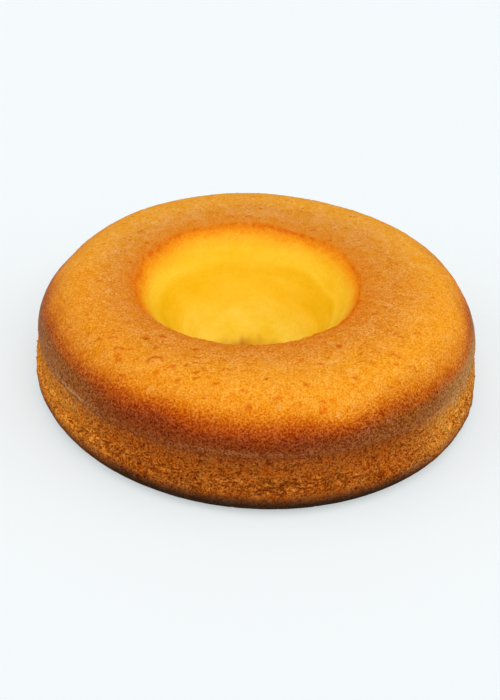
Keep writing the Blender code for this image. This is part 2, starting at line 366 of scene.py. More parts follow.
def crust_relief(along, turn, point):
    """(rise, scorch, dark, pale) of the crust's fine relief and marks: scorch and dark are partly browning,
    partly painted shade on far edges.
    """
    rise = PEEL_RISE * noise.noise(point / PEEL_SIZE) + DENT_RISE * noise.noise(point / DENT_SIZE)
    rise *= plateau(*RELIEF_REACH, along)
    rise += RAGGED_RIM * noise.noise(point / RIM_LUMP_SIZE) * nearness(along, RIM_LINE, RIM_LUMP_REACH)
    rise -= FLATTER * swell_at(turn, FLAT_PART) * plateau(*FLAT_REACH, along)
    if along < LIP_END[0]:
        rise += RAGGED_LIP * smooth_step(*LIP_END, along) * torn_crumb(along, turn, point)[0]
    scorch = dark = pale = 0.0
    if MARKS_START < along < RIM:
        on_dome = smooth_step(*BLISTERS_START, along)
        blistered = zip((rise, scorch, dark), blister(point))
        rise, scorch, dark = (part + on_dome * more for part, more in blistered)
        for mark in CRUST_MARKS:
            if mark.near(point):
                mark_rise, mark_scorch_and_shade, mark_dark, mark_pale = mark.effect(point)
                rise, scorch = rise + mark_rise, max(scorch, mark_scorch_and_shade)
                dark, pale = max(dark, mark_dark), max(pale, mark_pale)
    return rise, scorch, dark, pale


# ---- where the colours lie

# Parts of the ring, as (middle, half width) in degrees, some with a strength or a reach in millimetres
BAND_STRAYS = ((-67, 13, 3.2), (-22, 16, 3), (-150, 12, -1.3), (-129, 9, 0.9))
RIM_STRAYS = ((120, 18, 2.2), (86, 12, 1.2), (60, 12, -0.8))
# where the painted highlight on the lip is strongest
LIP_HIGHLIGHTS, LEAST_LIP_HIGHLIGHT = ((-142, 9, 2), (-93, 12, 0.5)), 0.04
TAN_PART, FOOT_PATCH = (-142, 34), (104, 20)
# Sides of the ring, from none to full, as cosines of the angle from the right or from the left
RIGHT_WALL, RIGHT_CRUST, LEFT_SIDE = (0.5, 0.9), (0.12, 0.8), (0.48, 0.84)
RIGHT_FAIR, LEFT_RUDDY = (0.66, 0.9), (0.2, 0.65)
# where the painted sheen on the lip and band lies
RIGHT_SHEEN, LEFT_SHEEN = (0.7, 0.93), (0.8, 0.95)
HOLE_RIGHT, HOLE_SIDES = (0.3, 0.9), (0.35, 0.85)
RIGHT_SHEEN_SHARE, LEFT_SHEEN_SHARE = 0.75, 0.08
GOLD_STRAY, GOLD_PATTERN = 0.25, (2.6, 21)
SOFT_SIDE = -0.5, 0.9  # as sines of the turn
SOFT_START, FAIR_START = (14, 30), (-16, -6)
# Reaches along the outline, as (start, full, fading, end)
STRAY_PART, BAND_EDGE = (1, 10, RIM - 22, RIM - 2), (2, 8, 26, 40)
RIM_PART, SIDE_SHEEN_PART, TAN_BAND = (RIM - 9, RIM, RIM + 14, RIM + 26), (-4, -1, 2, 12), (4, 18, 42, 62)
LIP_HIGHLIGHT_PLACE, LIP_HIGHLIGHT_HALF = 0.2, 1.4
STRAY_SIZE, STRAY_REACH = 28, 6  # slow straying of the baked band's upper edge
# Straying of the rim's colours: a slow, a ragged and a fine part, and how far it reaches
RIM_SLOW_SIZE, RIM_RAG_SIZE, RIM_FINE_SIZE, RIM_MEAN, RIM_STRAY_REACH = 17, 5, 2.4, 0.7, 1.6
RIM_TILT = 2.5  # they lie further out at the right
LINE_BREAK_SIZE, LINE_BREAK_PLACE, LINE_HALF, LINE_SCORCH = 3.5, Vector((2, 8, 5)), 1.8, (0.05, 0.8)
# Rings in the hole: how strong, how fast they change along it, and their noise
BROAD_RINGS, BROAD_RATE, BROAD_PATTERN = 0.4, 2.2, (1.6, 40)
FINE_RINGS, FINE_RATE, FINE_PATTERN = (0.15, 0.2), 8, (2.4, 50)
CREASE_STRAY, CREASE_PATTERN = 5, (2, 70)
CREASE_DARK, CREASE_LIGHT = (0.06, 0.4), (0.06, 0.3)  # painted shade below the crease and the light line above it, as (least, most)
FOOT_STREAK, STREAK_PATTERN = 5, (6, 30)  # length of the dark streaks above the hole's foot
LEAST_FOOT = 0.35


def swells(turn, parts):
    """Sum of parts of the ring, each as (middle, half width, strength)."""
    return sum(strength * swell_at(turn, (middle, half)) for middle, half, strength in parts)


def golden_share(turn):
    """How golden the side is: brown towards -Y and +Y, golden at the left and right; partly the crumb's own
    bake, partly painted shade at the front and back.
    """
    sides = smooth_step(*RIGHT_WALL, math.cos(turn)) + smooth_step(*LEFT_SIDE, -math.cos(turn))
    return min(max(sides + GOLD_STRAY * wave(turn, 0, GOLD_PATTERN), 0), 1)


def golden_crust(turn):
    """The same for the crust's band, which turns golden sooner at the right."""
    return smooth_step(*RIGHT_CRUST, math.cos(turn)) + smooth_step(*LEFT_SIDE, -math.cos(turn))


def fair_share(along, turn):
    """The wall is paler under the lip at the right: partly its own colour, partly painted sheen."""
    return smooth_step(*RIGHT_FAIR, math.cos(turn)) * smooth_step(*FAIR_START, along)


def ruddy_share(turn):
    """The wall is redder at the left."""
    return smooth_step(*LEFT_RUDDY, -math.cos(turn))


def colour_place(along, turn, point):
    """The place along the outline whose colour shows here."""
    if along < 0:
        return along
    shift = STRAY_REACH * noise.noise(point / STRAY_SIZE) * plateau(*STRAY_PART, along)
    shift += swells(turn, BAND_STRAYS) * plateau(*BAND_EDGE, along)
    ragged = noise.turbulence(point / RIM_RAG_SIZE, 3, True) + noise.noise(point / RIM_FINE_SIZE) - RIM_MEAN
    rim_shift = RIM_STRAY_REACH * (noise.noise(point / RIM_SLOW_SIZE) + ragged) + swells(turn, RIM_STRAYS)
    rim_shift += RIM_TILT * math.cos(turn) - math.cos(turn) ** 2
    return along + shift + rim_shift * plateau(*RIM_PART, along)


def rim_line(place, point):
    """The thin, broken, darker line along the rim."""
    broken = smooth_step(-0.3, 0.3, noise.noise(point / LINE_BREAK_SIZE + LINE_BREAK_PLACE))
    return lerp(*LINE_SCORCH, broken) * nearness(place, RIM_LINE, LINE_HALF)


def lip_highlight_share(along, turn):
    """Painted highlight on the lip: a pale mauve sheen, clearest at the left front."""
    return max(LEAST_LIP_HIGHLIGHT, swells(turn, LIP_HIGHLIGHTS)) * nearness(along, LIP_HIGHLIGHT_PLACE, LIP_HIGHLIGHT_HALF)


def side_sheen_share(along, turn):
    """Painted sheen: the lip and the band above it are paler at the far left and right."""
    side = RIGHT_SHEEN_SHARE * smooth_step(*RIGHT_SHEEN, math.cos(turn))
    side += LEFT_SHEEN_SHARE * smooth_step(*LEFT_SHEEN, -math.cos(turn))
    return side * plateau(*SIDE_SHEEN_PART, along)


def tan_share(along, turn):
    """The dome is a little more baked at the left front."""
    return swell_at(turn, TAN_PART) * plateau(*TAN_BAND, along)


def smooth_and_sheen_share(along, turn):
    """The crust of the dome is smoother towards +Y, and a painted sheen makes it paler and bluer there."""
    return smooth_step(*SOFT_SIDE, math.sin(turn)) * smooth_step(*SOFT_START, along)


def hole_shade(along, turn):
    """Light and dark rings in the hole, about 0.5: a light line above the crease, and painted shade below
    it, darkest at the sides.
    """
    if along < RIM_LINE:
        return 0.5
    right = smooth_step(*HOLE_RIGHT, math.cos(turn))
    side = smooth_step(*HOLE_SIDES, abs(math.cos(turn)))
    rings = BROAD_RINGS * wave(turn, along * BROAD_RATE, BROAD_PATTERN)
    rings += lerp(*FINE_RINGS, right) * wave(turn, along * FINE_RATE, FINE_PATTERN)
    crease = CREASE + CREASE_STRAY * wave(turn, 0, CREASE_PATTERN)
    dark = lerp(*CREASE_DARK, side) * plateau(crease - 3, crease + 6, crease + 8, crease + 22, along)
    light = lerp(*CREASE_LIGHT, right) * nearness(along, crease - 1.5, 2)
    return 0.5 + rings - dark + light


def foot_shadow_share(along, turn):
    """The hole's foot: browned crust and painted shadow, darkest where it shows best."""
    strayed = along + FOOT_STREAK * wave(turn, along / 3, STREAK_PATTERN)
    return smooth_step(FOOT - 9, FOOT - 2, strayed) * max(LEAST_FOOT, swell_at(turn, FOOT_PATCH))


# ---- meshes

NORMAL_REACH = 0.4  # a normal is taken over this much of the outline, up and down
WALL_DIVISIONS, BODY_DIVISIONS = 1296, 928  # round the ring, where they are finest
HIDDEN_SINK, SHELL_DEPTH = 2.6, 3  # behind the crumb wall, and the crumb wall's own thickness
TUCK, TUCK_SINK, LIP_SINK = 2.2, 0.7, 1.2  # how far the crumb wall runs up behind the lip
CRUST_SHARES = {"bloom": lip_highlight_share, "haze": side_sheen_share, "shade": hole_shade, "tan": tan_share,
                "soft": smooth_and_sheen_share, "foot": foot_shadow_share}


def spaced(start, end, spacing):
    """Places from start up to, but without, end."""
    count = max(1, round(abs(end - start) / spacing))
    return [lerp(start, end, step / count) for step in range(count)]


def band_faces(first, first_count, second, second_count):
    """Faces between two neighbouring rings, whose divisions are equal or a whole multiple."""
    if first_count == second_count:
        return [(first + k, first + (k + 1) % first_count, second + (k + 1) % first_count, second + k)
                for k in range(first_count)]
    swap = first_count > second_count
    coarse, coarse_count, fine, fine_count = (
        (second, second_count, first, first_count) if swap else (first, first_count, second, second_count))
    ratio, faces = fine_count // coarse_count, []
    for k in range(coarse_count):
        here, there = coarse + k, coarse + (k + 1) % coarse_count
        row = [fine + (k * ratio + step) % fine_count for step in range(ratio + 1)]
        middle = ratio // 2
        faces += [(here, row[step + 1], row[step]) for step in range(middle)]
        faces += [(here, there, row[middle])]
        faces += [(there, row[step + 1], row[step]) for step in range(middle, ratio)]
    return [face[::-1] for face in faces] if swap else faces


def write_mesh(name, points, faces, attributes):
    """A smooth mesh from points in millimetres, with one float attribute for each name."""
    mesh = bpy.data.meshes.new(name)
    mesh.from_pydata([tuple(point * MM) for point in points], [], faces)
    for label, values in attributes.items():
        layer = mesh.attributes.new(label, "FLOAT", "POINT").data
        layer.foreach_set("value", np.asarray(values, np.float32))
    mesh.shade_smooth()
    mesh.update()
    return mesh


def rings(places, divisions, sink=0):
    """Rings of a skin, each as (place along, divisions, how deep it is sunk)."""
    return [(along, divisions, sink) for along in places]


def closed_skin(rows, relief):
    """Points, faces and per-point values of a closed surface through the rings.

    relief gives (rise, values) at a point; a sunk ring takes its own depth for the rise.
    """
    starts = np.cumsum([0] + [divisions for _, divisions, _ in rows])
    places = [(along, math.tau * k / divisions - math.pi, sink)
              for along, divisions, sink in rows for k in range(divisions)]
    points = [uneven(along, turn) for along, turn, _ in places]
    faces = []
    for row, (_, divisions, _) in enumerate(rows):
        after = (row + 1) % len(rows)
        faces += band_faces(int(starts[row]), divisions, int(starts[after]), rows[after][1])
    normals = [surface_normal(along, turn) if sink else None for along, turn, sink in places]
    smooth = write_mesh("smooth", points, faces, {})
    values = []
    for k, (along, turn, sink) in enumerate(places):
        rise, row = relief(along, turn, points[k])
        points[k] = points[k] + (normals[k] or smooth.vertices[k].normal) * (-sink if sink else rise)
        values.append(row)
    bpy.data.meshes.remove(smooth)
    points = [Vector((p.x, p.y, max(p.z, 0))) for p in points]
    return points, faces, {label: [row[label] for row in values] for label in values[0]}


def surface_normal(along, turn):
    """Outward direction of the plain outline at a place."""
    (r0, z0), (r1, z1) = outline_at(along - NORMAL_REACH), outline_at(along + NORMAL_REACH)
    size = math.hypot(r1 - r0, z1 - z0)
    outward, upward = (z1 - z0) / size, -(r1 - r0) / size
    return Vector((outward * math.cos(turn), outward * math.sin(turn), upward))


def crumb_wall():
    """Closed shell of torn crumb from the rounded lower edge up to behind the lip."""
    low, high = EDGE_FOOT - 1, LIP_FOOT
    rows = rings(spaced(low, EDGE_FOOT + 6, 1.2), WALL_DIVISIONS // 2)
    rows += rings(spaced(EDGE_FOOT + 6, high, 0.6), WALL_DIVISIONS)
    rows += rings([high, high + 0.6], WALL_DIVISIONS)
    rows += rings([high + 1.2], WALL_DIVISIONS // 2, TUCK_SINK)
    rows += rings([high + TUCK], WALL_DIVISIONS // 4, SHELL_DEPTH - 1)
    rows += rings(spaced(high, low, 6) + [low], WALL_DIVISIONS // 4, SHELL_DEPTH)

    def relief(along, turn, point):
        cover = wall_cover(along, turn)
        rise, shade = torn_crumb(along, turn, point) if cover > 0 else (0, 0)
        return rise * cover, dict(place=along, shade=shade * cover, gold=golden_share(turn), torn=cover,
                                  ruddy=ruddy_share(turn), fair=fair_share(along, turn))

    return closed_skin(rows, relief)


def crust_body():
    """Closed body: the base, the core behind the crumb wall, the lip, the dome and the hole."""
    rows = rings(spaced(BASE_START, EDGE_FOOT - 1.5, 10) + [EDGE_FOOT - 1.5], BODY_DIVISIONS // 4)
    rows += rings(spaced(EDGE_FOOT + 3, LIP_FOOT - 0.5, 5), BODY_DIVISIONS // 4, HIDDEN_SINK)
    rows += rings([LIP_FOOT + 0.3], BODY_DIVISIONS, LIP_SINK)
    rows += rings(spaced(LIP_FOOT + 0.4, 3, 0.6), BODY_DIVISIONS)
    rows += rings(spaced(3, CREST, 0.95), BODY_DIVISIONS)
    rows += rings(spaced(CREST, RIM + 12, 1), BODY_DIVISIONS // 2)
    rows += rings(spaced(RIM + 12, FOOT, 1.5), BODY_DIVISIONS // 2)

    def relief(along, turn, point):
        rise, scorch, dark, pale = crust_relief(along, turn, point)
        place = colour_place(along, turn, point)
        scorch = max(scorch, rim_line(place, point))
        shares = {label: share(along, turn) for label, share in CRUST_SHARES.items()}
        return rise, dict(shares, place=place, gold=golden_crust(turn), scorch=scorch, dark=dark, pale=pale)

    return closed_skin(rows, relief)


def centring():
    """Sideways move that puts the solid's box round the frame's axis."""
    turns = [math.tau * k / SOLID_STEPS for k in range(SOLID_STEPS)]
    points = [uneven(along, turn) for along in spaced(EDGE_FOOT, 2, 1) for turn in turns]
    xs, ys = [p.x for p in points], [p.y for p in points]
    return Vector((-(min(xs) + max(xs)) / 2, -(min(ys) + max(ys)) / 2, 0))


# ---- crumbs

CRUMB_COUNT, CRUMB_SEED = 2800, 11
CRUMB_SMALL, CRUMB_LARGE, MOSTLY_SMALL = 0.25, 0.62, 2.2  # radius, and a power that favours small ones
SPLIT_CRUMBS, SPLIT_SPREAD = 0.35, 2.4  # the share near the split, and how far they spread
CRUMB_SEAT = -0.5, 0.1  # how far its middle stands out, as a share of its radius
CRUMB_STRETCH, CRUMB_SWELL, CRUMB_LUMPS, LUMP_PLACES = (0.6, 1.35), 0.5, 1.3, (-9, 9)


def crumb_shape():
    """Corners and faces of one rough grain of radius 1."""
    grain = bmesh.new()
    bmesh.ops.create_icosphere(grain, subdivisions=1, radius=1.0)
    corners = [corner.co.copy() for corner in grain.verts]
    faces = [tuple(corner.index for corner in face.verts) for face in grain.faces]
    grain.free()
    return corners, faces


def crumb_place(draw):
    """A place on the wall, more often near the split and seldom on the lower edge."""
    if draw.random() < SPLIT_CRUMBS:
        along = LIP_FOOT - (LIP_HEIGHT - LIP_BAND - SPLIT_HEIGHT) + draw.normal(0, SPLIT_SPREAD)
    else:
        along = lerp(EDGE_TOP + 3, -0.4, draw.random())
    return along, draw.uniform(-math.pi, math.pi)


def wall_crumbs(shift):
    """Grains that cling to the torn wall, as one mesh."""
    draw = np.random.default_rng(CRUMB_SEED)
    shape, shape_faces = crumb_shape()
    points, faces, shades, golds = [], [], [], []
    for _ in range(CRUMB_COUNT):
        along, turn = crumb_place(draw)
        seat = uneven(along, turn)
        out = Vector((math.cos(turn), math.sin(turn), 0))
        size = lerp(CRUMB_SMALL, CRUMB_LARGE, draw.random() ** MOSTLY_SMALL)
        seat += out * (torn_crumb(along, turn, seat)[0] + size * draw.uniform(*CRUMB_SEAT)) + shift
        stretch = Vector(draw.uniform(*CRUMB_STRETCH, 3))
        spin = Matrix.Rotation(draw.uniform(0, math.tau), 3, Vector(draw.normal(size=3)).normalized())
        start = len(points)
        rough = Vector(draw.uniform(*LUMP_PLACES, 3))
        for corner in shape:
            swollen = corner * (1 + CRUMB_SWELL * noise.noise(corner * CRUMB_LUMPS + rough))
            points.append(seat + spin @ (swollen * stretch * size))
        faces += [tuple(start + k for k in face) for face in shape_faces]
        shades += [draw.random()] * len(shape)
        golds += [golden_share(turn)] * len(shape)
    return points, faces, {"shade": shades, "gold": golds}


# ---- materials

class Graph:
    """Short calls for building the nodes of one material."""

    def __init__(self, name, roughness=0.8, specular=0.04):
        self.material = bpy.data.materials.new(name)
        self.material.use_nodes = True
        self.tree = self.material.node_tree
        self.shader = self.tree.nodes["Principled BSDF"]
        self.colour = None
        self.shader.inputs["Roughness"].default_value = roughness
        self.shader.inputs["Specular IOR Level"].default_value = specular

    def add(self, kind, settings=(), **inputs):
        node = self.tree.nodes.new(kind)
        for label, value in dict(settings).items():
            setattr(node, label, value)
        for label, value in inputs.items():
            self.feed(node, label.replace("_", " "), value)
        return node

    def feed(self, node, label, value):
        socket = node.inputs[int(label[1:]) if label[0] == "i" and label[1:].isdigit() else label]
        if isinstance(value, bpy.types.NodeSocket):
            self.tree.links.new(value, socket)
        else:
            socket.default_value = (*value, 1) if socket.type == "RGBA" else value

    def math(self, operation, first, second=0, clamp=False):
        node = self.add("ShaderNodeMath", {"operation": operation, "use_clamp": clamp}, i0=first, i1=second)
        return node.outputs[0]

    def times(self, first, second, clamp=False):
        return self.math("MULTIPLY", first, second, clamp)

    def vector(self, operation, first, second):
        return self.add("ShaderNodeVectorMath", {"operation": operation}, i0=first, i1=second).outputs[0]

    def number(self, attribute):
        return self.add("ShaderNodeAttribute", {"attribute_name": attribute}).outputs["Fac"]

    def noise(self, where, scale, detail=2, roughness=0.5, output="Fac"):
        return self.add("ShaderNodeTexNoise", Vector=where, Scale=scale, Detail=detail,
                        Roughness=roughness).outputs[output]

    def swing(self, where, scale, detail=2, roughness=0.5, reach=1):
        """Noise about 0, mostly between -reach/4 and reach/4."""
        return self.times(self.math("SUBTRACT", self.noise(where, scale, detail, roughness), 0.5), reach)

    def warped(self, where, scale, reach):
        """The place pushed about by noise, so that cells lose their round shape."""
        push = self.vector("SUBTRACT", self.noise(where, scale, 1, 0.5, "Color"), (0.5, 0.5, 0.5))
        return self.vector("ADD", where, self.vector("MULTIPLY", push, (reach, reach, reach)))

    def pores(self, where, scale, small, large, edge, warp=None):
        """1 in the middle of each cell's pore, whose size differs from cell to cell."""
        where = self.warped(where, *warp) if warp else where
        cells = self.add("ShaderNodeTexVoronoi", Vector=where, Scale=scale).outputs
        chance = self.add("ShaderNodeSeparateColor", Color=cells["Color"]).outputs[0]
        reach = self.span(chance, 0, 1, small, large)
        return self.times(self.math("SUBTRACT", reach, cells["Distance"]), edge, clamp=True)

    def ramp(self, factor, stops):
        """Colour or number by place: stops are (place, value)."""
        low, high = stops[0][0], stops[-1][0]
        node = self.add("ShaderNodeValToRGB", Fac=self.span(factor, low, high))
        elements = node.color_ramp.elements
        while len(elements) < len(stops):
            elements.new(0.5)
        for element, (place, value) in zip(elements, stops):
            element.position = (place - low) / (high - low)
            element.color = (*value, 1) if isinstance(value, tuple) else (value, value, value, 1)
        return node.outputs["Color"]

    def span(self, value, low, high, start=0, end=1):
        """start at low and end at high."""
        return self.add("ShaderNodeMapRange", Value=value, From_Min=low, From_Max=high, To_Min=start,
                        To_Max=end).outputs["Result"]

    def tint(self, by, factor=1):
        """Multiply the colour so far by another, as far as factor says."""
        settings = {"data_type": "RGBA", "blend_type": "MULTIPLY"}
        self.colour = self.add("ShaderNodeMix", settings, i0=factor, i6=self.colour, i7=by).outputs[2]

    def blend(self, factor, low, high):
        return self.add("ShaderNodeMix", {"data_type": "RGBA"}, i0=factor, i6=low, i7=high).outputs[2]

    def shade(self, value, dark, light, factor=1):
        """Tint from dark to light as the value goes from -0.5 to 0.5."""
        self.tint(self.blend(self.math("ADD", value, 0.5, clamp=True), dark, light), factor)

    def millimetres(self):
        """Place in the cake's millimetres."""
        place = self.add("ShaderNodeTexCoord").outputs["Object"]
        return self.vector("MULTIPLY", place, (1 / MM, 1 / MM, 1 / MM))

    def bump(self, height, depth):
        """Fine relief of this depth in millimetres for a height of 1."""
        node = self.add("ShaderNodeBump", Height=height, Strength=1, Distance=depth * MM)
        self.feed(self.shader, "Normal", node.outputs["Normal"])

    def finished(self):
        """The material, with the colour reached so far."""
        self.feed(self.shader, "Base Color", self.colour)
        return self.material


# Linear colours of the crust, from the lip up over the dome
LIP_BROWN = (0.265, 0.055, 0.0028)
BAND_BROWN = (0.24, 0.039, 0.0016)
CHESTNUT = (0.305, 0.046, 0.0019)
RUSSET = (0.4, 0.061, 0.0018)
COPPER = (0.51, 0.086, 0.0018)
AMBER = (0.64, 0.142, 0.0024)
HONEY = (0.79, 0.222, 0.0038)
GOLDEN = (0.87, 0.29, 0.007)
BRIGHT_GOLD = (0.93, 0.338, 0.009)
SOFT_GOLD = (0.9, 0.328, 0.011)
TAN = (0.82, 0.278, 0.012)
# The same at the left and right, where the side is less baked
SIDE_BROWN = (0.32, 0.094, 0.005)
SIDE_CHESTNUT = (0.46, 0.095, 0.0025)
SIDE_COPPER = (0.53, 0.114, 0.0025)
SIDE_AMBER = (0.7, 0.197, 0.004)
SIDE_GOLD = (0.86, 0.315, 0.01)
# Rim and hole
RIM_TAN = (0.79, 0.235, 0.007)
RIM_AMBER = (0.82, 0.225, 0.003)
ORANGE_GOLD = (0.91, 0.3, 0.004)
CORN = (0.97, 0.44, 0.01)
CORN_YELLOW = (0.98, 0.555, 0.014)
CREASE_YELLOW = (0.98, 0.57, 0.013)
DEEP_YELLOW = (0.97, 0.555, 0.011)
# paler low in the hole: painted light on the lower wall
LIT_PALE_YELLOW = (0.96, 0.645, 0.03)
# darker at the hole's foot: browned crust and painted shadow
FOOT_SHADOW_YELLOW = (0.84, 0.49, 0.022)

CRUST_STOPS = (
    (LIP_FOOT - 0.5, LIP_BROWN), (1, LIP_BROWN), (3.2, BAND_BROWN), (5, BAND_BROWN), (8, CHESTNUT),
    (10.5, RUSSET), (13.5, COPPER), (16.5, AMBER), (19.8, HONEY), (23.5, GOLDEN), (30, BRIGHT_GOLD),
    (38, BRIGHT_GOLD), (46, SOFT_GOLD), (58, TAN), (RIM - 9, TAN), (RIM - 4, RIM_TAN),
    (RIM - 0.5, RIM_TAN), (RIM + 2.5, RIM_AMBER), (RIM + 6.5, ORANGE_GOLD), (RIM + 10, CORN),
    (RIM + 16, CORN_YELLOW), (CREASE - 3, CREASE_YELLOW), (CREASE + 8, DEEP_YELLOW),
    (FOOT - 36, DEEP_YELLOW), (FOOT - 17, LIT_PALE_YELLOW), (FOOT - 10, LIT_PALE_YELLOW), (FOOT, FOOT_SHADOW_YELLOW),
)
SIDE_STOPS = (
    (1, SIDE_BROWN), (6, SIDE_BROWN), (10, SIDE_CHESTNUT), (13.5, SIDE_COPPER), (17.5, SIDE_AMBER),
    (26, SIDE_GOLD),
)
UNDER_COLOUR = (0.45, 0.16, 0.02)
# Numbers by place along the outline
GLINT_STOPS = ((-3, 0.3), (3, 1), (18, 1), (28, 0.6), (56, 0.5), (RIM - 4, 0.3), (RIM, 0))
DOT_STOPS = ((-3, 0.4), (1, 1), (12, 1), (20, 0.2), (26, 0))
DITHER_STOPS = ((-2, 1), (6, 9), (20, 9), (30, 5), (RIM - 6, 5), (RIM + 2, 11),
                (RIM + 8, 11), (RIM + 16, 2), (FOOT, 1.5))
SPECK_STOPS = ((-3, 1.3), (4, 1.7), (9, 1.7), (15, 1.3), (24, 0.9), (48, 0.9), (RIM, 0.85),
               (RIM + 6, 0.22), (FOOT, 0.22))
CELL_STOPS = ((-3, 0.8), (2, 0.9), (13, 0.85), (22, 0.45), (46, 0.45), (56, 0.75), (RIM - 2, 0.6),
              (RIM + 3, 0))
DIMPLE_STOPS = ((10, 0), (22, 0.5), (48, 0.6), (56, 0.75), (RIM - 2, 0.6), (RIM, 0))
ROUGH_STOPS = ((-3, 0.45), (3, 0.45), (12, 0.55), (30, 0.68), (RIM, 0.72), (FOOT, 0.8))

# Tints multiply a colour
SPECK_DARK, SPECK_LIGHT = (0.83, 0.62, 0.03), (1.17, 1.4, 3.4)
BLOTCH_DARK, BLOTCH_LIGHT = (0.96, 0.86, 0.1), (1.03, 1.13, 2.4)
MOTTLE_DARK, MOTTLE_LIGHT = (0.96, 0.9, 0.6), (1.02, 1.1, 1.42)
BAND_PORE, BAND_RIDGE = (0.5, 0.28, 0.08), (1.16, 1.36, 2.6)
DOME_PORE, DOME_RIDGE = (0.83, 0.6, 0.15), (1.05, 1.16, 1.7)
GLINT_TINT = (1.36, 2, 4)
DOT_TINT = (0.38, 0.24, 0.14)
FLECK_TINT = (1.16, 1.5, 3.6)
SCORCH_AND_SHADE_TINT, DARK_AND_SHADE_TINT = (0.88, 0.46, 0.14), (0.66, 0.5, 0.28)
DIMPLE_TINT = (0.86, 0.6, 0.35)
TAN_TINT, SHEEN_TINT = (0.92, 0.86, 0.95), (0.91, 1.02, 1.5)
PALE_COLOUR = (0.95, 0.48, 0.11)
# painted highlight on the lip, and painted sheen on the lip and band at the far left and right
MAUVE_HIGHLIGHT, SIDE_SHEEN = (0.53, 0.228, 0.075), (0.58, 0.29, 0.072)
HOLE_DARK, HOLE_LIGHT = (0.9, 0.86, 0.2), (1.03, 1.1, 1.8)
# browned crust and painted shadow at the hole's foot
FOOT_SHADOW_TINT = (0.64, 0.4, 0.22)

# Noises, as (scale, detail, roughness, reach)
GRAIN, BLOTCHES, MOTTLES = (0.95, 3, 0.75), (0.13, 3, 0.6, 1.6), (0.32, 2, 0.5, 2)
BREAKS, BREAK_START, BREAK_EDGE, PATCHES = (0.5, 3, 0.6), 0.4, 5, (0.7, 2)
# Pores of cells, as (scale, smallest, largest, edge) and how they are warped, as (scale, reach)
CELLS, DOTS = (0.95, 0.42, 0.85, 2.3, (1.1, 0.9)), (0.52, -0.05, 0.36, 6, (0.9, 0.6))
FLECKS, DIMPLES = (0.3, -0.3, 0.26, 8, (0.6, 1)), (0.3, -0.15, 0.38, 6, (0.5, 1.8))
GLINTS = 0.95, -0.25, 0.46, 4
# Spans, mostly along the outline, as (from, to) or (from, to, value at from, value at to)
SIDE_SPAN, CELL_SPAN, HOLE_SPAN, SHEEN_SPAN = (32, 25), (9, 18), (RIM + 2, RIM + 10), (RIM + 8, RIM)
BLOTCH_SPAN, MOTTLE_SPAN = (RIM + 8, RIM, 0.4, 1), (RIM + 4, RIM - 6, 0.2, 1)
MOTTLE_GROWTH, FLECK_SPAN = (28, 48, 1, 1.5), (RIM - 4, 20, 0, 0.8)
PATCH_SPAN = 0.35, 0.6, 0.2, 0.75
SPECK_GAIN, SOFTENING, COVERING = 3.2, 0.5, 0.7
CRUST_BUMP, CELL_HOLLOW = 0.35, 0.45


def crust_cells(g, where, place):
    """(tint, height) of the fine cells: dark pores on lighter ridges, strongest on the baked band."""
    pore = g.pores(where, *CELLS)
    on_dome = g.span(place, *CELL_SPAN)
    dark, light = g.blend(on_dome, BAND_PORE, DOME_PORE), g.blend(on_dome, BAND_RIDGE, DOME_RIDGE)
    return g.blend(pore, light, dark), pore


